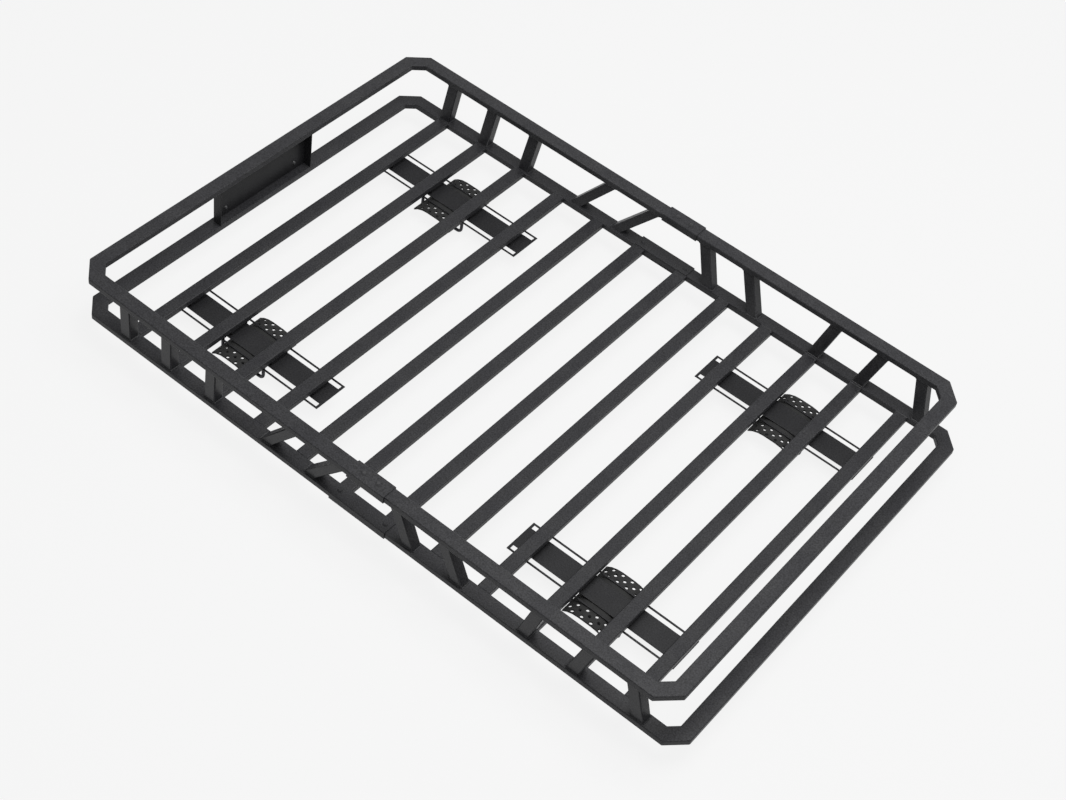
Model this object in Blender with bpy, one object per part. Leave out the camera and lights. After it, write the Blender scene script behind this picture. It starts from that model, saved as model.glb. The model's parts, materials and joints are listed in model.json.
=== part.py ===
"""Two-piece roof cargo basket with four slotted crossbar mounts.

X runs from the front end (-X) to the rear end (+X), Y across the vehicle, Z up.
The origin is under the middle of the lower frame, level with the undersides of the U-bolts.
All sizes are in metres.
"""
import math

import bmesh
import bpy

# ---- Driving dimensions: the two rail loops ---------------------------------------------
LOWER_LENGTH = 1.669
LOOP_STEP = 0.043
TOP_SHIFT = -0.016
TOP_WIDTH = 1.135
SIDE_FLARE = 0.0106
BASKET_HEIGHT = 0.140
RAIL_WIDTH = 0.035
RAIL_HEIGHT = 0.0155
TUBE_WALL = 0.0010
TOP_CORNER = 0.045
LOWER_CORNER = 0.040
CLEARANCE = 0.0003

# ---- Floor slats -----------------------------------------------------------------------
SLAT_COUNT = 12
SLAT_WIDTH = 0.032
SLAT_HEIGHT = 0.0155

# ---- Side uprights: place along the slat spacing, and lean of the top end ---------------
UPRIGHT_LENGTH_X = 0.030
UPRIGHT_DEPTH_Y = 0.026
FRONT_UPRIGHTS = ((1.0, 0.010), (2.0, 0.011), (3.05, 0.012), (4.38, 0.084), (5.38, 0.090))
REAR_UPRIGHTS = ((7.58, -0.038), (8.62, -0.043), (10.0, 0.030), (11.0, 0.032), (12.3, -0.028))

# ---- Joint between the front and the rear half -----------------------------------------
TOP_JOINT_X = 0.0235
LOWER_JOINT_X = 0.0
SLEEVE_LENGTH = 0.100
SLEEVE_WALL = 0.002
SLEEVE_SCREW_SPACING = 0.039
LOWER_SLEEVE_LENGTH = 0.154
LOWER_SCREW_SPACING = 0.127
SCREW_RADIUS = 0.003
SCREW_HEAD_RADIUS = 0.0065
SCREW_HEAD_HEIGHT = 0.0032

# ---- Front panel ------------------------------------------------------------------------
PANEL_WIDTH = 0.305
PANEL_DEPTH = 0.024
PANEL_SHEET = 0.002
PANEL_HOLE_RADIUS = 0.003
PANEL_HOLE_INSET = 0.037
PANEL_HOLE_HEIGHT = 0.022

# ---- Slotted mount plates ----------------------------------------------------------------
MOUNT_Y = 0.343
MOUNT_PAST_INNER_SLAT = 0.0442
MOUNT_PAST_OUTER_SLAT = 0.0137
MOUNT_WIDTH = 0.092
MOUNT_SHEET = 0.0025
SLOT_WIDTH = 0.0115
SLOT_EDGE_WEB = 0.0045
SLOT_END_WEB = 0.006
SPACER_HEIGHT = 0.012
SPACER_LENGTH = 0.026
SPACER_WIDTH = 0.044

# ---- Crossbar clamps ----------------------------------------------------------------------
CLAMP_GAP_INDEX = 2.5
BOLT_RADIUS = 0.004
BOLT_BEND = 0.012
BOLT_TAIL = 0.0025
BOLT_BORE_GAP = 0.0004
SADDLE_HALF_WIDTH = 0.057
SADDLE_HALF_LENGTH = 0.077
SADDLE_FLAT = 0.016
SADDLE_DROP = 0.016
SADDLE_THICKNESS = 0.005
SADDLE_HOLE_RADIUS = 0.0042
SADDLE_HOLE_PITCH = 0.024
SADDLE_ROW_PITCH = 0.0105
SADDLE_ROW_START = 0.0505
CROSSBAR_ROOM = 0.032
NUT_ACROSS_FLATS = 0.013
NUT_HEIGHT = 0.0065
NUT_FLANGE_RADIUS = 0.0088
NUT_FLANGE_HEIGHT = 0.0015
HOLE_SEGMENTS = 8
ROUND_SEGMENTS = 12

# ---- Levels and places that follow from the sizes above ------------------------------------
TOP_LENGTH = LOWER_LENGTH - LOOP_STEP
LOWER_WIDTH = TOP_WIDTH - 2 * SIDE_FLARE
MOUNT_STACK = SPACER_HEIGHT + CLEARANCE
SADDLE_TOP = MOUNT_STACK + MOUNT_SHEET + CLEARANCE
CROSSBAR_BOTTOM = SADDLE_TOP + SADDLE_THICKNESS + CROSSBAR_ROOM
FLOOR_Z = CROSSBAR_BOTTOM + 2 * BOLT_RADIUS
PLATE_TOP_Z = FLOOR_Z - MOUNT_STACK
RAIL_TOP_Z = FLOOR_Z + RAIL_HEIGHT
CROWN_Z = FLOOR_Z + BASKET_HEIGHT
TOP_RAIL_Z = CROWN_Z - RAIL_HEIGHT
SLAT_PITCH = (LOWER_LENGTH - RAIL_WIDTH) / (SLAT_COUNT + 1)
SLOT_Y = MOUNT_WIDTH / 2 - SLOT_EDGE_WEB - SLOT_WIDTH / 2
BOLT_HALF_SPAN = SLAT_PITCH / 2
CLAMP_X = ((SLAT_COUNT + 1) / 2 - CLAMP_GAP_INDEX) * SLAT_PITCH


def slat_x(number):
    """Place along X of a slat by its number, counted from the front; 2.5 is between 2 and 3."""
    return (number - (SLAT_COUNT + 1) / 2) * SLAT_PITCH


# ---- Scene helpers -----------------------------------------------------------------------
def clear_scene():
    for obj in list(bpy.data.objects):
        bpy.data.objects.remove(obj, do_unlink=True)


def new_collection(name):
    group = bpy.data.collections.new(name)
    bpy.context.scene.collection.children.link(group)
    return group


def move_to(obj, group):
    for owner in list(obj.users_collection):
        owner.objects.unlink(obj)
    group.objects.link(obj)


def material(name, colour, roughness, metallic):
    made = bpy.data.materials.new(name)
    made.use_nodes = True
    shader = made.node_tree.nodes["Principled BSDF"]
    shader.inputs["Base Color"].default_value = (*colour, 1.0)
    shader.inputs["Roughness"].default_value = roughness
    shader.inputs["Metallic"].default_value = metallic
    return made


FINISHES = {
    "frame": ((0.045, 0.045, 0.047), 0.45, 0.0),
    "slat": ((0.040, 0.040, 0.042), 0.45, 0.0),
    "plate": ((0.030, 0.030, 0.032), 0.50, 0.0),
    "rubber": ((0.018, 0.018, 0.018), 0.80, 0.0),
    "black_zinc": ((0.030, 0.030, 0.032), 0.40, 1.0),
}
ROUND_KINDS = ("rubber", "black_zinc")
SMOOTH_ANGLE = math.radians(50)


def finish(obj, name, kind, group):
    """Name a finished piece, give it its own material and put it in its collection."""
    obj.name = name
    obj.data.name = name
    colour, roughness, metallic = FINISHES[kind]
    obj.data.materials.clear()
    obj.data.materials.append(material(name + "_finish", colour, roughness, metallic))
    if kind in ROUND_KINDS:
        obj.data.shade_smooth()
        obj.data.set_sharp_from_angle(angle=SMOOTH_ANGLE)
    move_to(obj, group)
    return obj


def object_from_bmesh(name, shape):
    bmesh.ops.recalc_face_normals(shape, faces=shape.faces)
    mesh = bpy.data.meshes.new(name)
    shape.to_mesh(mesh)
    shape.free()
    obj = bpy.data.objects.new(name, mesh)
    bpy.context.scene.collection.objects.link(obj)
    return obj


def box(name, low, high, top_shift=(0.0, 0.0)):
    """A block between two corners, with its top end moved sideways by top_shift."""
    shape = bmesh.new()
    bmesh.ops.create_cube(shape, size=1.0)
    size = [high[i] - low[i] for i in range(3)]
    middle = [(high[i] + low[i]) / 2 for i in range(3)]
    bmesh.ops.scale(shape, vec=size, verts=shape.verts)
    top = [v for v in shape.verts if v.co.z > 0]
    bmesh.ops.translate(shape, vec=(top_shift[0], top_shift[1], 0), verts=top)
    bmesh.ops.translate(shape, vec=middle, verts=shape.verts)
    return object_from_bmesh(name, shape)


def rod(name, x, y, z_low, z_high, radius, segments=ROUND_SEGMENTS):
    """An upright cylinder."""
    shape = bmesh.new()
    bmesh.ops.create_cone(shape, cap_ends=True, segments=segments,
                          radius1=radius, radius2=radius, depth=z_high - z_low)
    bmesh.ops.translate(shape, vec=(x, y, (z_low + z_high) / 2), verts=shape.verts)
    return object_from_bmesh(name, shape)


def flat_outline(name, loops, z_low, z_high):
    """A plate cut to closed outlines in the XY plane; a loop inside another is a hole."""
    curve = bpy.data.curves.new(name, "CURVE")
    curve.dimensions = "2D"
    curve.fill_mode = "BOTH"
    curve.extrude = (z_high - z_low) / 2
    for loop in loops:
        spline = curve.splines.new("POLY")
        spline.points.add(len(loop) - 1)
        for point, (x, y) in zip(spline.points, loop):
            point.co = (x, y, 0.0, 1.0)
        spline.use_cyclic_u = True
    guide = bpy.data.objects.new(name + "_outline", curve)
    bpy.context.scene.collection.objects.link(guide)
    guide.location.z = (z_low + z_high) / 2
    bpy.context.view_layer.update()
    mesh = bpy.data.meshes.new_from_object(guide.evaluated_get(bpy.context.evaluated_depsgraph_get()))
    shape = bmesh.new()
    shape.from_mesh(mesh)
    bmesh.ops.transform(shape, matrix=guide.matrix_world, verts=shape.verts)
    bmesh.ops.remove_doubles(shape, verts=shape.verts, dist=0.00001)
    bpy.data.objects.remove(guide, do_unlink=True)
    return object_from_bmesh(name, shape)


def combine(body, other, operation):
    """Apply a Boolean of other to body; other isn't needed afterwards."""
    step = body.modifiers.new(operation.lower(), "BOOLEAN")
    step.operation = operation
    step.solver = "EXACT"
    step.object = other
    bpy.context.view_layer.update()
    graph = bpy.context.evaluated_depsgraph_get()
    mesh = bpy.data.meshes.new_from_object(body.evaluated_get(graph))
    body.modifiers.clear()
    body.data = mesh
    bpy.data.objects.remove(other, do_unlink=True)
    return body


def cut(body, cutter):
    """Cut body with a cutter, which is drawn as wire and never rendered."""
    move_to(cutter, bpy.data.collections["cutters"])
    cutter.hide_render = True
    cutter.display_type = "WIRE"
    return combine(body, cutter, "DIFFERENCE")


def join(body, other):
    return combine(body, other, "UNION")


# ---- Frame ---------------------------------------------------------------------------------
def half_loop(length, width, corner, inset, shift, joint_x, side, overrun):
    """Outline of half a rail loop: side -1 is the front half, +1 the rear half."""
    end = shift + side * (length / 2 - inset)
    half = width / 2 - inset
    cut_leg = corner - inset * (2 - math.sqrt(2))
    inner_end = shift + side * (length / 2 - RAIL_WIDTH + inset)
    inner_half = width / 2 - RAIL_WIDTH + inset
    inner_leg = corner - (RAIL_WIDTH - inset) * (2 - math.sqrt(2))
    open_x = joint_x + side * (CLEARANCE / 2) - side * overrun
    return [
        (open_x, half),
        (end - side * cut_leg, half),
        (end, half - cut_leg),
        (end, -half + cut_leg),
        (end - side * cut_leg, -half),
        (open_x, -half),
        (open_x, -inner_half),
        (inner_end - side * inner_leg, -inner_half),
        (inner_end, -inner_half + inner_leg),
        (inner_end, inner_half - inner_leg),
        (inner_end - side * inner_leg, inner_half),
        (open_x, inner_half),
    ]


def half_rail(name, length, width, corner, shift, joint_x, side, z_low):
    """Half of a rail loop: rectangular tube with cut corners, open at the joint."""
    body = flat_outline(name, [half_loop(length, width, corner, 0.0, shift, joint_x, side, 0.0)],
                        z_low, z_low + RAIL_HEIGHT)
    bore = flat_outline(name + "_bore",
                        [half_loop(length, width, corner, TUBE_WALL, shift, joint_x, side, 0.01)],
                        z_low + TUBE_WALL, z_low + RAIL_HEIGHT - TUBE_WALL)
    return cut(body, bore)


def screw_places(joint_x, spacing):
    return [joint_x - spacing / 2, joint_x + spacing / 2]


def add_screw_holes(rail, joint_x, spacing, y_middle, z_top, side):
    for x in screw_places(joint_x, spacing):
        if (x - joint_x) * side > 0:
            for y in (-y_middle, y_middle):
                hole = rod("hole", x, y, z_top - 2 * TUBE_WALL, z_top + TUBE_WALL,
                           SCREW_RADIUS + CLEARANCE, HOLE_SEGMENTS)
                cut(rail, hole)


def top_rail(name, side, group):
    rail = half_rail(name, TOP_LENGTH, TOP_WIDTH, TOP_CORNER, TOP_SHIFT, TOP_JOINT_X, side, TOP_RAIL_Z)
    middle = (TOP_WIDTH - RAIL_WIDTH) / 2
    add_screw_holes(rail, TOP_JOINT_X, SLEEVE_SCREW_SPACING, middle, CROWN_Z, side)
    return finish(rail, name, "frame", group)


def lower_frame(name, side, uprights, group):
    """Half of the lower loop with its ten uprights welded on."""
    frame = half_rail(name, LOWER_LENGTH, LOWER_WIDTH, LOWER_CORNER, 0.0, LOWER_JOINT_X, side, FLOOR_Z)
    middle = (LOWER_WIDTH - RAIL_WIDTH) / 2
    weld_depth = TUBE_WALL / 2
    rise = TOP_RAIL_Z - CLEARANCE - RAIL_TOP_Z + weld_depth
    flare = SIDE_FLARE * rise / BASKET_HEIGHT
    low_z = RAIL_TOP_Z - weld_depth
    high_z = low_z + rise
    half_x = UPRIGHT_LENGTH_X / 2
    half_y = UPRIGHT_DEPTH_Y / 2
    for place, lean in uprights:
        x = slat_x(place)
        for wall in (-1, 1):
            y = wall * middle
            post = box("post", (x - half_x, y - half_y, low_z), (x + half_x, y + half_y, high_z),
                       (lean, wall * flare))
            join(frame, post)
    for place, lean in uprights:
        x = slat_x(place)
        skin = TUBE_WALL
        for wall in (-1, 1):
            y = wall * middle
            bore = box("bore", (x - half_x + skin, y - half_y + skin, low_z + 2 * skin),
                       (x + half_x - skin, y + half_y - skin, high_z + 2 * skin),
                       (lean, wall * flare))
            offset = 2 * skin / rise
            for vertex in bore.data.vertices:
                vertex.co.x += lean * offset
                vertex.co.y += wall * flare * offset
            cut(frame, bore)
    add_screw_holes(frame, LOWER_JOINT_X, LOWER_SCREW_SPACING, middle, RAIL_TOP_Z, side)
    return finish(frame, name, "frame", group)


def slat(name, number, group):
    """A floor slat: rectangular tube, open at both ends, between the long lower rails."""
    x = slat_x(number)
    half_y = LOWER_WIDTH / 2 - RAIL_WIDTH - CLEARANCE
    body = box(name, (x - SLAT_WIDTH / 2, -half_y, FLOOR_Z),
               (x + SLAT_WIDTH / 2, half_y, FLOOR_Z + SLAT_HEIGHT))
    bore = box("bore", (x - SLAT_WIDTH / 2 + TUBE_WALL, -half_y - 0.01, FLOOR_Z + TUBE_WALL),
               (x + SLAT_WIDTH / 2 - TUBE_WALL, half_y + 0.01, FLOOR_Z + SLAT_HEIGHT - TUBE_WALL))
    return finish(cut(body, bore), name, "slat", group)


def sleeve_screw(name, x, y, seat_z, shank_bottom):
    """A domed screw whose head stands on seat_z and whose shank reaches down to shank_bottom."""
    shank = rod("shank", x, y, shank_bottom, seat_z + SCREW_HEAD_HEIGHT / 2, SCREW_RADIUS, HOLE_SEGMENTS)
    shape = bmesh.new()
    bmesh.ops.create_cone(shape, cap_ends=True, segments=ROUND_SEGMENTS, radius1=SCREW_HEAD_RADIUS,
                          radius2=SCREW_HEAD_RADIUS * 0.6, depth=SCREW_HEAD_HEIGHT)
    bmesh.ops.translate(shape, vec=(x, y, seat_z + SCREW_HEAD_HEIGHT / 2), verts=shape.verts)
    return join(object_from_bmesh(name, shape), shank)


def splice_sleeve(name, wall, group):
    """Sleeve round the top rail at the joint, and the two screws that hold it."""
    y = wall * (TOP_WIDTH - RAIL_WIDTH) / 2
    inner_y = RAIL_WIDTH / 2 + CLEARANCE
    outer_y = inner_y + SLEEVE_WALL
    low = TOP_RAIL_Z - CLEARANCE
    high = CROWN_Z + CLEARANCE
    half = SLEEVE_LENGTH / 2
    body = box(name, (TOP_JOINT_X - half, y - outer_y, low - SLEEVE_WALL),
               (TOP_JOINT_X + half, y + outer_y, high + SLEEVE_WALL))
    bore = box("bore", (TOP_JOINT_X - half - 0.01, y - inner_y, low),
               (TOP_JOINT_X + half + 0.01, y + inner_y, high))
    cut(body, bore)
    for number, x in enumerate(screw_places(TOP_JOINT_X, SLEEVE_SCREW_SPACING)):
        cut(body, rod("hole", x, y, CROWN_Z - TUBE_WALL, high + 2 * SLEEVE_WALL,
                      SCREW_RADIUS + CLEARANCE, HOLE_SEGMENTS))
        screw_name = name.replace("sleeve", "screw") + "_%d" % (number + 1)
        screw = sleeve_screw(screw_name, x, y, high + SLEEVE_WALL + CLEARANCE, CROWN_Z - 2 * TUBE_WALL)
        finish(screw, screw_name, "black_zinc", group)
    return finish(body, name, "frame", group)


def lower_sleeve(name, wall, group):
    """Folded cover round the outside of the lower rail at the joint, open towards the slats."""
    rail_outer = LOWER_WIDTH / 2 + CLEARANCE
    edge = LOWER_WIDTH / 2 - RAIL_WIDTH
    low = FLOOR_Z - CLEARANCE
    high = RAIL_TOP_Z + CLEARANCE
    half = LOWER_SLEEVE_LENGTH / 2
    near, far = sorted((wall * edge, wall * (rail_outer + SLEEVE_WALL)))
    body = box(name, (LOWER_JOINT_X - half, near, low - SLEEVE_WALL),
               (LOWER_JOINT_X + half, far, high + SLEEVE_WALL))
    near, far = sorted((wall * (edge - 0.01), wall * rail_outer))
    bore = box("bore", (LOWER_JOINT_X - half - 0.01, near, low),
               (LOWER_JOINT_X + half + 0.01, far, high))
    cut(body, bore)
    y = wall * (LOWER_WIDTH - RAIL_WIDTH) / 2
    for x in screw_places(LOWER_JOINT_X, LOWER_SCREW_SPACING):
        join(body, sleeve_screw("screw", x, y, high + SLEEVE_WALL - CLEARANCE, RAIL_TOP_Z - 2 * TUBE_WALL))
    return finish(body, name, "frame", group)


def front_panel(name, group):
    """Sheet panel folded back at both ends, standing between the front rails."""
    half = PANEL_WIDTH / 2
    front = TOP_SHIFT - TOP_LENGTH / 2 + RAIL_WIDTH / 2 - PANEL_DEPTH / 2
    back = front + PANEL_DEPTH
    sheet = PANEL_SHEET
    outline = [(front, -half), (back, -half), (back, -half + sheet), (front + sheet, -half + sheet),
               (front + sheet, half - sheet), (back, half - sheet), (back, half), (front, half)]
    body = flat_outline(name, [outline], RAIL_TOP_Z + CLEARANCE, TOP_RAIL_Z - CLEARANCE)
    z = RAIL_TOP_Z + PANEL_HOLE_HEIGHT
    for y in (-half + PANEL_HOLE_INSET, half - PANEL_HOLE_INSET):
        hole = rod("hole", 0.0, 0.0, -sheet, 2 * sheet, PANEL_HOLE_RADIUS, HOLE_SEGMENTS)
        for vertex in hole.data.vertices:
            across, up, along = vertex.co
            vertex.co = (front + along, y + across, z + up)
        cut(body, hole)
    return finish(body, name, "plate", group)


# ---- Mounts ---------------------------------------------------------------------------------
def mount_plate(name, end, wall, group):
    """Slotted plate under four slats, held off each slat by a raised boss."""
    inner = -slat_x(4) - MOUNT_PAST_INNER_SLAT
    outer = -slat_x(1) + MOUNT_PAST_OUTER_SLAT
    half = MOUNT_WIDTH / 2
    y = wall * MOUNT_Y
    top = PLATE_TOP_Z

    def rectangle(x_low, x_high, y_low, y_high):
        return [(end * x_low, y + y_low), (end * x_high, y + y_low),
                (end * x_high, y + y_high), (end * x_low, y + y_high)]

    loops = [rectangle(inner, outer, -half, half)]
    for side in (-1, 1):
        middle = side * SLOT_Y
        loops.append(rectangle(inner + SLOT_END_WEB, outer - SLOT_END_WEB,
                               middle - SLOT_WIDTH / 2, middle + SLOT_WIDTH / 2))
    body = flat_outline(name, loops, top - MOUNT_SHEET, top)
    for number in range(1, 5):
        x = end * -slat_x(number)
        boss = box("boss", (x - SPACER_LENGTH / 2, y - SPACER_WIDTH / 2, top - MOUNT_SHEET / 2),
                   (x + SPACER_LENGTH / 2, y + SPACER_WIDTH / 2, FLOOR_Z - CLEARANCE))
        join(body, boss)
    return finish(body, name, "plate", group)


def saddle_profile():
    """Outer face of the saddle across the crossbar: a flat middle with rounded shoulders."""
    run = SADDLE_HALF_WIDTH - SADDLE_FLAT
    radius = (run ** 2 + SADDLE_DROP ** 2) / (2 * SADDLE_DROP)
    reach = math.asin(run / radius)
    steps = 3
    shoulder = []
    for step in range(steps + 1):
        angle = reach * step / steps
        shoulder.append((SADDLE_FLAT + radius * math.sin(angle), radius * (math.cos(angle) - 1)))
    return [(-x, z) for x, z in reversed(shoulder)] + shoulder


def rubber_saddle(name, x, y, group):
    """Arched rubber pad that lies over the crossbar, perforated at both ends."""
    top = FLOOR_Z - SADDLE_TOP
    profile = saddle_profile()
    shape = bmesh.new()
    outer = [shape.verts.new((px, 0, pz)) for px, pz in profile]
    inner = [shape.verts.new((px, 0, pz - SADDLE_THICKNESS)) for px, pz in profile]
    face = shape.faces.new(outer + inner[::-1])
    grown = bmesh.ops.extrude_face_region(shape, geom=[face])
    moved = [part for part in grown["geom"] if isinstance(part, bmesh.types.BMVert)]
    bmesh.ops.translate(shape, vec=(0, 2 * SADDLE_HALF_LENGTH, 0), verts=moved)
    bmesh.ops.translate(shape, vec=(x, y - SADDLE_HALF_LENGTH, top), verts=shape.verts)
    body = object_from_bmesh(name, shape)
    for end in (-1, 1):
        for row in range(3):
            count = 4 + row % 2
            for index in range(count):
                across = (index - (count - 1) / 2) * SADDLE_HOLE_PITCH
                along = end * (SADDLE_ROW_START + row * SADDLE_ROW_PITCH)
                hole = rod("hole", x + across, y + along, top - SADDLE_DROP - 2 * SADDLE_THICKNESS,
                           top + SADDLE_THICKNESS, SADDLE_HOLE_RADIUS, HOLE_SEGMENTS)
                cut(body, hole)
    return finish(body, name, "rubber", group)


def u_bolt(name, x, y, group):
    """Square-bend U-bolt that hangs under the crossbar; both legs come up through one slot."""
    leg_top = PLATE_TOP_Z + CLEARANCE + NUT_FLANGE_HEIGHT + NUT_HEIGHT + BOLT_TAIL
    low = BOLT_RADIUS
    curve = bpy.data.curves.new(name, "CURVE")
    curve.dimensions = "3D"
    curve.bevel_depth = BOLT_RADIUS
    curve.bevel_resolution = 2
    curve.use_fill_caps = True
    steps = 4
    points = [(-BOLT_HALF_SPAN, leg_top)]
    for step in range(steps + 1):
        angle = math.pi / 2 * step / steps
        points.append((-BOLT_HALF_SPAN + BOLT_BEND * (1 - math.cos(angle)),
                       low + BOLT_BEND * (1 - math.sin(angle))))
    points += [(-px, pz) for px, pz in reversed(points)]
    spline = curve.splines.new("POLY")
    spline.points.add(len(points) - 1)
    for point, (px, pz) in zip(spline.points, points):
        point.co = (x + px, y, pz, 1.0)
    guide = bpy.data.objects.new(name + "_path", curve)
    bpy.context.scene.collection.objects.link(guide)
    bpy.context.view_layer.update()
    graph = bpy.context.evaluated_depsgraph_get()
    mesh = bpy.data.meshes.new_from_object(guide.evaluated_get(graph))
    shape = bmesh.new()
    shape.from_mesh(mesh)
    bmesh.ops.remove_doubles(shape, verts=shape.verts, dist=0.00001)
    lowest = min(vertex.co.z for vertex in shape.verts)
    bmesh.ops.translate(shape, vec=(0, 0, -lowest), verts=shape.verts)
    bpy.data.objects.remove(guide, do_unlink=True)
    return finish(object_from_bmesh(name, shape), name, "black_zinc", group)


def flange_nut(name, x, y, group):
    """Hexagon nut with a round flange on the mount plate; its origin is on the leg's axis."""
    low = PLATE_TOP_Z + CLEARANCE
    flange_top = low + NUT_FLANGE_HEIGHT
    high = flange_top + NUT_HEIGHT
    body = rod(name, 0, 0, low + NUT_FLANGE_HEIGHT / 2, high, NUT_ACROSS_FLATS / math.sqrt(3), 6)
    flange = rod("flange", 0, 0, low, flange_top, NUT_FLANGE_RADIUS)
    join(body, flange)
    bore = rod("bore", 0, 0, low - NUT_HEIGHT, high + NUT_HEIGHT, BOLT_RADIUS + BOLT_BORE_GAP)
    cut(body, bore)
    body.location = (x, y, 0)
    return finish(body, name, "black_zinc", group)


def build_mount(label, end, wall, group):
    x = end * CLAMP_X
    y = wall * MOUNT_Y
    mount_plate("mount_plate_" + label, end, wall, group)
    rubber_saddle("rubber_saddle_" + label, x, y, group)
    for side, side_name in ((-1, "a"), (1, "b")):
        bolt_y = y + side * SLOT_Y
        u_bolt("u_bolt_" + label + "_" + side_name, x, bolt_y, group)
        for leg in (-1, 1):
            nut_name = "nut_%s_%s%d" % (label, side_name, (leg + 3) // 2)
            flange_nut(nut_name, x + leg * BOLT_HALF_SPAN, bolt_y, group)


def main():
    clear_scene()
    group = new_collection("roof_cargo_basket")
    new_collection("cutters")
    top_rail("top_rail_front", -1, group)
    top_rail("top_rail_rear", 1, group)
    lower_frame("lower_frame_front", -1, FRONT_UPRIGHTS, group)
    lower_frame("lower_frame_rear", 1, REAR_UPRIGHTS, group)
    for number in range(1, SLAT_COUNT + 1):
        slat("floor_slat_%02d" % number, number, group)
    front_panel("front_panel", group)
    for wall, label in ((-1, "left"), (1, "right")):
        splice_sleeve("top_sleeve_" + label, wall, group)
        lower_sleeve("lower_sleeve_" + label, wall, group)
    for end, end_name in ((-1, "front"), (1, "rear")):
        for wall, wall_name in ((-1, "left"), (1, "right")):
            build_mount(end_name + "_" + wall_name, end, wall, group)


main()
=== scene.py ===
"""Roof cargo basket: powder-coated tube frame, slotted mount plates, rubber saddles, black U-bolts."""

import json
import math

import bmesh
import bpy
from mathutils import Matrix, Vector


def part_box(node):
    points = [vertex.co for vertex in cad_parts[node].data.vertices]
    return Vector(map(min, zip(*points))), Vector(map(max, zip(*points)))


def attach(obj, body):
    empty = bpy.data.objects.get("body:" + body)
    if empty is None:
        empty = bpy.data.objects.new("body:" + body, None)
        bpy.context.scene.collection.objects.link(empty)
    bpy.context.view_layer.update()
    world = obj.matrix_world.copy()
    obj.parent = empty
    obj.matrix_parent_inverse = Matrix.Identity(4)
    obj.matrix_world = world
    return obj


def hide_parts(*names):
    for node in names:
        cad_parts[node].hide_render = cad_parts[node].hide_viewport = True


TUBE_EDGE_RADIUS = 0.0022
SHEET_EDGE_RADIUS = 0.0006
SADDLE_EDGE_RADIUS = 0.0009
NUT_EDGE_RADIUS = 0.0004
EDGE_SEGMENTS = 3
SHARP_ANGLE = math.radians(30)
SMOOTH_ANGLE = math.radians(50)
BEAD_SMOOTH_ANGLE = math.radians(40)
FLAT_ANGLE = math.radians(1)
MERGE_DISTANCE = 0.00001
# A face narrower than this many radii, or an edge shorter than this many, is left sharp.
NARROWEST_FACE = 1.2
SHORTEST_EDGE = 5

# Finishes: how far across each unevenness is, in mm, and how much fine detail it has.
MM_PER_M = 1000
PLAIN_DETAIL = 2.0
CLOUDY_DETAIL = 3.0
FINE_DETAIL = 4.0
COAT_FILM_MM = 60.0
COAT_PEPPER_MM = 3.0
RUBBER_DUST_MM = 12.0
ZINC_CLOUD_MM = 8.0
OXIDE_CLOUD_MM = 4.0
# Where along the noise a finish turns fully to its dark tone and to its light one.
DARK_POINT = 0.3
LIGHT_POINT = 0.7
# Fine skins. Real orange peel is about 1 mm; 2.5 mm is the finest that still shows.
COAT_SKIN = {"size_mm": 2.5, "strength": 0.25, "depth": 0.0002}
RUBBER_SKIN = {"size_mm": 1.5, "strength": 0.3, "depth": 0.0002}
ZINC_SKIN = {"size_mm": 1.2, "strength": 0.15, "depth": 0.0001}
OXIDE_SKIN = {"size_mm": 1.0, "strength": 0.15, "depth": 0.0001}
TUBE_ROUGHNESS = 0.40
SHEET_ROUGHNESS = 0.45
RUBBER_ROUGHNESS = 0.75
ZINC_ROUGHNESS = 0.42
OXIDE_ROUGHNESS = 0.35
COAT_SPECULAR = 0.16
RUBBER_SPECULAR = 0.30

WELD_RADIUS = 0.0024
# The share of its radius that a slat bead's axis lies below the slat's top. At an upright's ends
# the axis lies the rest of the radius into the rail.
WELD_SUNK = 0.72
WELD_END_GAP = 0.001
WELD_SIDES = 8
UPRIGHT_HALF_LENGTH = 0.015
UPRIGHT_HALF_DEPTH = 0.013
SIDE_FLARE = 0.0106
BASKET_HEIGHT = 0.140
RAIL_WIDTH = 0.035
RAIL_HEIGHT = 0.0155
CLEARANCE = 0.0003
FRONT_UPRIGHTS = ((1.0, 0.010), (2.0, 0.011), (3.05, 0.012), (4.38, 0.084), (5.38, 0.090))
REAR_UPRIGHTS = ((7.58, -0.038), (8.62, -0.043), (10.0, 0.030), (11.0, 0.032), (12.3, -0.028))
SLAT_COUNT = 12

PANEL_BOLT_RADIUS = 0.0055
PANEL_BOLT_HEIGHT = 0.003
PANEL_BOLT_INSET = 0.037
PANEL_BOLT_RISE = 0.022
PANEL_SHEET = 0.002
PANEL_BOLT_GAP = 0.0002
PANEL_BOLT_SIDES = 18
PANEL_BOLT_CROWN = 0.6

# Threads on the U-bolts' legs: M8 with its coarse pitch.
THREAD_PITCH = 0.00125
THREAD_RIDGE = 0.00018
THREAD_LENGTH = 0.020
THREAD_SIDES = 14
BOLT_RADIUS = 0.004

FLOOR_SIZE = 30.0
FLOOR_ROUGHNESS = 0.9
FLOOR_GLOW = 0.86
SKY_LIGHT = 0.36
SKY_SEEN = 0.90
WHITE = (1.0, 1.0, 1.0, 1.0)
OVERHEAD_LAMP = {"place": (0.6, 0.2, 3.6), "size": 2.4, "power": 122.0}
EDGE_LAMP = {"place": (1.6, 2.9, 2.3), "size": 1.0, "power": 14.0}

VIEW_AZIMUTH = math.radians(30.690)
VIEW_ELEVATION = math.radians(47.767)
VIEW_ROLL = math.radians(10.897)
VIEW_DISTANCE = 4.141
VIEW_TARGET = (0.0573, -0.0382)
LENS_MM = 62.79
SENSOR_MM = 36.0


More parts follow.
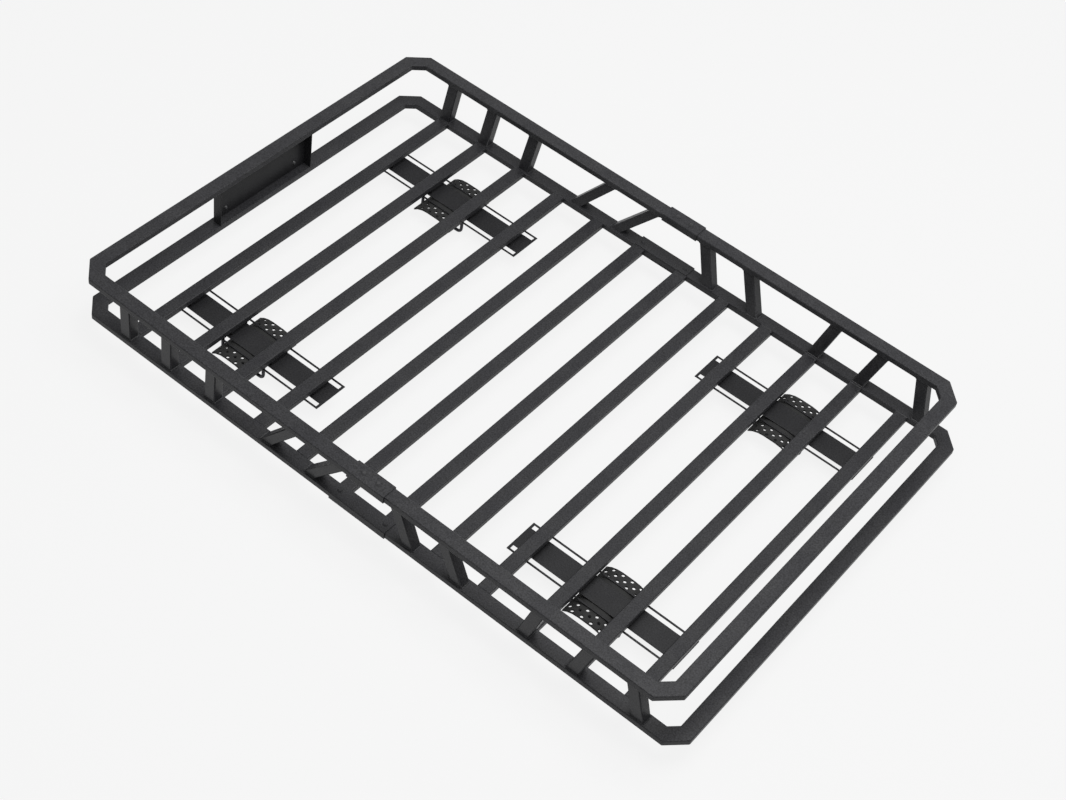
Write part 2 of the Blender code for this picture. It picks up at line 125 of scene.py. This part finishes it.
# ---- Materials --------------------------------------------------------------------------
def linear(hex_colour):
    """A linear RGBA colour from an sRGB hex value."""
    channels = [int(hex_colour[i:i + 2], 16) / 255 for i in (1, 3, 5)]
    lit = [c / 12.92 if c <= 0.04045 else ((c + 0.055) / 1.055) ** 2.4 for c in channels]
    return (*lit, 1.0)


def add_node(tree, kind, settings=None, values=None, links=None):
    """Add a node with its settings, socket values and incoming links."""
    node = tree.nodes.new(kind)
    for key, value in (settings or {}).items():
        setattr(node, key, value)
    for key, value in (values or {}).items():
        node.inputs[key].default_value = value
    for key, source in (links or {}).items():
        tree.links.new(source, node.inputs[key])
    return node


def new_material(name):
    made = bpy.data.materials.new(name)
    made.use_nodes = True
    tree = made.node_tree
    return made, tree, tree.nodes["Principled BSDF"]


def grain(tree, size_mm, detail=PLAIN_DETAIL):
    """Noise whose cells are about size_mm across, on the piece's own coordinates."""
    place = add_node(tree, "ShaderNodeTexCoord")
    return add_node(tree, "ShaderNodeTexNoise", {}, {"Scale": MM_PER_M / size_mm, "Detail": detail},
                    {"Vector": place.outputs["Object"]})


def shade_between(tree, noise, dark, light):
    ramp = add_node(tree, "ShaderNodeValToRGB", {}, {}, {"Fac": noise.outputs["Fac"]})
    ramp.color_ramp.elements[0].position = DARK_POINT
    ramp.color_ramp.elements[0].color = linear(dark)
    ramp.color_ramp.elements[1].position = LIGHT_POINT
    ramp.color_ramp.elements[1].color = linear(light)
    return ramp


def rough_skin(tree, shader, size_mm, strength, depth):
    """Fine bumps over the whole surface."""
    bump = add_node(tree, "ShaderNodeBump", {}, {"Strength": strength, "Distance": depth},
                    {"Height": grain(tree, size_mm).outputs["Fac"]})
    tree.links.new(bump.outputs["Normal"], shader.inputs["Normal"])


def powder_coat(name, dark, light, roughness):
    """Sprayed and baked polyester powder: satin, with a fine orange-peel skin."""
    made, tree, shader = new_material(name)
    # Broad, faint cloudiness of the sprayed film, so that a long rail isn't one flat tone.
    film = shade_between(tree, grain(tree, COAT_FILM_MM), dark, light)
    # Fine pepper of the textured powder, which breaks up the highlight and the colour.
    pepper = shade_between(tree, grain(tree, COAT_PEPPER_MM, FINE_DETAIL), "#949494", "#ffffff")
    tone = add_node(tree, "ShaderNodeMix", {"data_type": "RGBA", "blend_type": "MULTIPLY"},
                    {0: 1.0}, {6: film.outputs["Color"], 7: pepper.outputs["Color"]})
    tree.links.new(tone.outputs[2], shader.inputs["Base Color"])
    rough_skin(tree, shader, **COAT_SKIN)
    shader.inputs["Roughness"].default_value = roughness
    shader.inputs["Specular IOR Level"].default_value = COAT_SPECULAR
    return made


def moulded_rubber(name):
    """Compression-moulded EPDM: dull black, with a slightly dusty, uneven skin."""
    made, tree, shader = new_material(name)
    tone = shade_between(tree, grain(tree, RUBBER_DUST_MM, FINE_DETAIL), "#1c1c1c", "#242424")
    tree.links.new(tone.outputs["Color"], shader.inputs["Base Color"])
    rough_skin(tree, shader, **RUBBER_SKIN)
    shader.inputs["Roughness"].default_value = RUBBER_ROUGHNESS
    shader.inputs["Specular IOR Level"].default_value = RUBBER_SPECULAR
    return made


def black_zinc(name):
    """Black-passivated zinc over drawn rod: dark metal, cloudy where the dip dried unevenly."""
    made, tree, shader = new_material(name)
    tone = shade_between(tree, grain(tree, ZINC_CLOUD_MM, CLOUDY_DETAIL), "#27272a", "#38383c")
    tree.links.new(tone.outputs["Color"], shader.inputs["Base Color"])
    rough_skin(tree, shader, **ZINC_SKIN)
    shader.inputs["Metallic"].default_value = 1.0
    shader.inputs["Roughness"].default_value = ZINC_ROUGHNESS
    return made


def black_oxide(name):
    """Blackened steel screw: dark metal with an oily sheen."""
    made, tree, shader = new_material(name)
    tone = shade_between(tree, grain(tree, OXIDE_CLOUD_MM), "#1d1d1f", "#28282b")
    tree.links.new(tone.outputs["Color"], shader.inputs["Base Color"])
    rough_skin(tree, shader, **OXIDE_SKIN)
    shader.inputs["Roughness"].default_value = OXIDE_ROUGHNESS
    return made


def build_finishes():
    return {
        "frame": powder_coat("powder_coated_tube", "#37373a", "#3f3f41", TUBE_ROUGHNESS),
        "slat": powder_coat("powder_coated_slat", "#353538", "#3c3c3e", TUBE_ROUGHNESS),
        "plate": powder_coat("powder_coated_sheet", "#262628", "#2d2d2f", SHEET_ROUGHNESS),
        "rubber": moulded_rubber("moulded_rubber"),
        "bolt": black_zinc("black_zinc_rod"),
        "nut": black_zinc("black_zinc_nut"),
        "screw": black_oxide("black_oxide_screw"),
    }


def finish_of(node):
    families = (("top_rail", "frame"), ("lower_frame", "frame"), ("floor_slat", "slat"),
                ("top_sleeve", "frame"), ("lower_sleeve", "frame"), ("front_panel", "plate"),
                ("mount_plate", "plate"), ("rubber_saddle", "rubber"), ("top_screw", "screw"),
                ("u_bolt", "bolt"), ("nut_", "nut"))
    return next(family for start, family in families if node.startswith(start))


# ---- Rounded copies of the sharp-edged tubes, sheets, pads and nuts ----------------------
def narrow(face, radius):
    """True for the thin rim of a tube's wall, which is too narrow to round."""
    around = sum(edge.calc_length() for edge in face.edges)
    return 2 * face.calc_area() / around < NARROWEST_FACE * radius


def rounded_copy(source, name, radius, wholly_smooth):
    """A copy of a sharp-edged piece with its long outer edges rounded."""
    shape = bmesh.new()
    shape.from_mesh(source.data)
    bmesh.ops.remove_doubles(shape, verts=shape.verts, dist=MERGE_DISTANCE)
    bmesh.ops.dissolve_limit(shape, angle_limit=FLAT_ANGLE, verts=shape.verts,
                             edges=shape.edges, use_dissolve_boundaries=False)
    outer = [edge for edge in shape.edges
             if edge.is_manifold and edge.is_convex and edge.calc_face_angle() > SHARP_ANGLE
             and edge.calc_length() > SHORTEST_EDGE * radius
             and not any(narrow(face, radius) for face in edge.link_faces)]
    rounded = bmesh.ops.bevel(shape, geom=outer, offset=radius, offset_type="OFFSET",
                              segments=EDGE_SEGMENTS, profile=0.5, material=-1,
                              affect="EDGES", clamp_overlap=True)
    for face in rounded["faces"]:
        face.smooth = True
    mesh = bpy.data.meshes.new(name)
    shape.to_mesh(mesh)
    shape.free()
    if wholly_smooth:
        mesh.shade_smooth()
        mesh.set_sharp_from_angle(angle=SMOOTH_ANGLE)
    piece = bpy.data.objects.new(name, mesh)
    bpy.context.scene.collection.objects.link(piece)
    return piece


def dress_nodes(frame, finishes, body_by_node):
    """Give every CAD node its finish, and show tubes, sheets, pads and nuts with rounded edges."""
    radii = {"frame": TUBE_EDGE_RADIUS, "slat": TUBE_EDGE_RADIUS, "plate": SHEET_EDGE_RADIUS,
             "rubber": SADDLE_EDGE_RADIUS, "nut": NUT_EDGE_RADIUS}
    for node, source in frame["nodes"].items():
        family = finish_of(node)
        if family in radii:
            piece = rounded_copy(source, node + "_rounded", radii[family],
                                 family in ("rubber", "nut"))
            piece.data.materials.append(finishes[family])
            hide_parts(node)
            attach(piece, body_by_node[node])
        else:
            source.data.materials.clear()
            source.data.materials.append(finishes[family])


# ---- Small welded and bolted details -----------------------------------------------------
def piece_from(shape, name, finishes, family, body):
    bmesh.ops.recalc_face_normals(shape, faces=shape.faces)
    mesh = bpy.data.meshes.new(name)
    shape.to_mesh(mesh)
    shape.free()
    mesh.shade_smooth()
    mesh.set_sharp_from_angle(angle=BEAD_SMOOTH_ANGLE)
    mesh.materials.append(finishes[family])
    piece = bpy.data.objects.new(name, mesh)
    bpy.context.scene.collection.objects.link(piece)
    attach(piece, body)
    return piece


def add_bead(shape, start, end):
    """One weld bead: a low rod laid along the corner between two tubes."""
    start, end = Vector(start), Vector(end)
    run = end - start
    grown = bmesh.ops.create_cone(shape, cap_ends=True, segments=WELD_SIDES, radius1=WELD_RADIUS,
                                  radius2=WELD_RADIUS, depth=run.length)
    turn = run.to_track_quat("Z", "Y").to_matrix().to_4x4()
    bmesh.ops.transform(shape, matrix=Matrix.Translation((start + end) / 2) @ turn,
                        verts=grown["verts"])


def slat_welds(finishes):
    """A bead on top of each slat's end, sunk so that only a low ridge stands up."""
    shape = bmesh.new()
    for number in range(1, SLAT_COUNT + 1):
        low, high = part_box("floor_slat_%02d" % number)
        sunk = high[2] - WELD_RADIUS * WELD_SUNK
        for y in (low[1], high[1]):
            add_bead(shape, (low[0] + WELD_END_GAP, y, sunk), (high[0] - WELD_END_GAP, y, sunk))
    piece_from(shape, "slat_end_welds", finishes, "slat", "basket")


def ring_of_beads(shape, x, y, z):
    """Four beads round an upright's end, one along each of its sides."""
    left, right = x - UPRIGHT_HALF_LENGTH, x + UPRIGHT_HALF_LENGTH
    near, far = y - UPRIGHT_HALF_DEPTH, y + UPRIGHT_HALF_DEPTH
    for side in (near, far):
        add_bead(shape, (left, side, z), (right, side, z))
    for side in (left, right):
        add_bead(shape, (side, near, z), (side, far, z))


def upright_welds(finishes):
    """Beads round the foot of every upright on the lower rail, and round its head."""
    first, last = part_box("floor_slat_01"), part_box("floor_slat_%02d" % SLAT_COUNT)
    pitch = (last[0][0] - first[0][0]) / (SLAT_COUNT - 1)
    rail_y = first[1][1] + CLEARANCE + RAIL_WIDTH / 2
    foot_z = first[0][2] + RAIL_HEIGHT
    head_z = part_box("top_rail_front")[0][2]
    flare = SIDE_FLARE * (head_z - foot_z) / BASKET_HEIGHT
    sunk = WELD_RADIUS * (1 - WELD_SUNK)
    for name, uprights in (("front", FRONT_UPRIGHTS), ("rear", REAR_UPRIGHTS)):
        shape = bmesh.new()
        for place, lean in uprights:
            x = (place - (SLAT_COUNT + 1) / 2) * pitch
            for wall in (-1, 1):
                ring_of_beads(shape, x, wall * rail_y, foot_z - sunk)
                ring_of_beads(shape, x + lean, wall * (rail_y + flare), head_z + sunk)
        piece_from(shape, "upright_welds_" + name, finishes, "frame", "basket")


def leg_threads(finishes, body_by_node):
    """Raised thread rings on the top of both legs of every U-bolt."""
    for node in sorted(body_by_node):
        if not node.startswith("u_bolt"):
            continue
        low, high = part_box(node)
        middle = (low[1] + high[1]) / 2
        shape = bmesh.new()
        for x in (low[0] + BOLT_RADIUS, high[0] - BOLT_RADIUS):
            for turn in range(int(THREAD_LENGTH / THREAD_PITCH)):
                z = high[2] - THREAD_PITCH * (turn + 1)
                for widest, up in ((0, 1), (1, -1)):
                    grown = bmesh.ops.create_cone(
                        shape, cap_ends=True, segments=THREAD_SIDES,
                        radius1=BOLT_RADIUS + THREAD_RIDGE * (1 - widest),
                        radius2=BOLT_RADIUS + THREAD_RIDGE * widest, depth=THREAD_PITCH / 2)
                    place = Matrix.Translation((x, middle, z + up * THREAD_PITCH / 4))
                    bmesh.ops.transform(shape, matrix=place, verts=grown["verts"])
        piece_from(shape, node + "_threads", finishes, "bolt", body_by_node[node])


def panel_bolts(finishes):
    """A low tapered black head near each end of the front panel, on both of its faces."""
    low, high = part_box("front_panel")
    shape = bmesh.new()
    for y in (low[1] + PANEL_BOLT_INSET, high[1] - PANEL_BOLT_INSET):
        for x, outward in ((low[0] - PANEL_BOLT_GAP, -1),
                           (low[0] + PANEL_SHEET + PANEL_BOLT_GAP, 1)):
            grown = bmesh.ops.create_cone(shape, cap_ends=True, segments=PANEL_BOLT_SIDES,
                                          radius1=PANEL_BOLT_RADIUS,
                                          radius2=PANEL_BOLT_RADIUS * PANEL_BOLT_CROWN,
                                          depth=PANEL_BOLT_HEIGHT)
            turn = Matrix.Rotation(math.radians(90 * outward), 4, "Y")
            middle = x + outward * PANEL_BOLT_HEIGHT / 2
            place = Matrix.Translation((middle, y, low[2] + PANEL_BOLT_RISE))
            bmesh.ops.transform(shape, matrix=place @ turn, verts=grown["verts"])
    piece_from(shape, "front_panel_bolts", finishes, "screw", "basket")


# ---- Studio ------------------------------------------------------------------------------
def seen_or_mirrored(tree):
    """1 where the camera sees the surface, straight or in a reflection, and 0 elsewhere."""
    path = add_node(tree, "ShaderNodeLightPath")
    return add_node(tree, "ShaderNodeMath", {"operation": "MAXIMUM"}, {},
                    {0: path.outputs["Is Camera Ray"], 1: path.outputs["Is Glossy Ray"]})


def pale_floor():
    shape = bmesh.new()
    bmesh.ops.create_grid(shape, x_segments=1, y_segments=1, size=FLOOR_SIZE)
    mesh = bpy.data.meshes.new("studio_floor")
    shape.to_mesh(mesh)
    shape.free()
    floor = bpy.data.objects.new("studio_floor", mesh)
    bpy.context.scene.collection.objects.link(floor)
    made, tree, shader = new_material("pale_studio_floor")
    shader.inputs["Base Color"].default_value = linear("#a8a8a8")
    shader.inputs["Roughness"].default_value = FLOOR_ROUGHNESS
    seen = seen_or_mirrored(tree)
    share = add_node(tree, "ShaderNodeMath", {"operation": "MULTIPLY"}, {1: FLOOR_GLOW},
                     {0: seen.outputs["Value"]})
    glow = add_node(tree, "ShaderNodeEmission", {}, {"Color": WHITE, "Strength": 1.0})
    blend = add_node(tree, "ShaderNodeMixShader", {}, {},
                     {0: share.outputs["Value"], 1: shader.outputs["BSDF"],
                      2: glow.outputs["Emission"]})
    tree.links.new(blend.outputs["Shader"], tree.nodes["Material Output"].inputs["Surface"])
    mesh.materials.append(made)


def softbox(name, place, size, power):
    """A square area lamp that points at the middle of the basket."""
    lamp = bpy.data.lights.new(name, "AREA")
    lamp.size = size
    lamp.energy = power
    holder = bpy.data.objects.new(name, lamp)
    bpy.context.scene.collection.objects.link(holder)
    holder.location = place
    holder.rotation_euler = (-holder.location).to_track_quat("-Z", "Y").to_euler()


def studio_light():
    world = bpy.data.worlds.new("studio")
    bpy.context.scene.world = world
    world.use_nodes = True
    sky = world.node_tree.nodes["Background"]
    sky.inputs["Color"].default_value = WHITE
    level = add_node(world.node_tree, "ShaderNodeMath", {"operation": "MULTIPLY_ADD"},
                     {1: SKY_SEEN - SKY_LIGHT, 2: SKY_LIGHT},
                     {0: seen_or_mirrored(world.node_tree).outputs["Value"]})
    world.node_tree.links.new(level.outputs["Value"], sky.inputs["Strength"])
    softbox("overhead_softbox", **OVERHEAD_LAMP)
    softbox("edge_softbox", **EDGE_LAMP)


def product_camera(frame):
    """Camera above the rear left corner, rolled so that the basket runs down to the right."""
    azimuth, elevation, roll = VIEW_AZIMUTH, VIEW_ELEVATION, VIEW_ROLL
    backward = Vector((math.sin(azimuth) * math.cos(elevation),
                       -math.cos(azimuth) * math.cos(elevation), math.sin(elevation)))
    right = Vector((math.cos(azimuth), math.sin(azimuth), 0.0))
    up = backward.cross(right)
    axis_x = right * math.cos(roll) + up * math.sin(roll)
    axis_y = -right * math.sin(roll) + up * math.cos(roll)
    floor_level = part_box("floor_slat_06")[0][2]
    target = Vector((*VIEW_TARGET, floor_level))
    turn = Matrix((axis_x, axis_y, backward)).transposed().to_4x4()
    camera = bpy.data.cameras.new("product_camera")
    camera.lens = LENS_MM
    camera.sensor_width = SENSOR_MM
    holder = bpy.data.objects.new("product_camera", camera)
    bpy.context.scene.collection.objects.link(holder)
    holder.matrix_world = Matrix.Translation(target + backward * VIEW_DISTANCE) @ turn
    bpy.context.scene.camera = holder


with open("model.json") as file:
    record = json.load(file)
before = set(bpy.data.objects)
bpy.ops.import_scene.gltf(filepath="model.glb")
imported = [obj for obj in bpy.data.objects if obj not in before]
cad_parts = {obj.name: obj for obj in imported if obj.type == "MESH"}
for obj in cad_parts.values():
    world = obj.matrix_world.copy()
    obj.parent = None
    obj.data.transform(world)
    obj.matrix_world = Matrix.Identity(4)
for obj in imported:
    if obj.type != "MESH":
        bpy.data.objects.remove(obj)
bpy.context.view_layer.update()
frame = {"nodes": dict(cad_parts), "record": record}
body_by_node = {node: body for body, nodes in frame["record"]["behaviour"]["bodies"].items()
                for node in nodes}
finishes = build_finishes()
dress_nodes(frame, finishes, body_by_node)
slat_welds(finishes)
upright_welds(finishes)
leg_threads(finishes, body_by_node)
panel_bolts(finishes)
pale_floor()
studio_light()
product_camera(frame)
bpy.context.scene.view_settings.view_transform = "Standard"
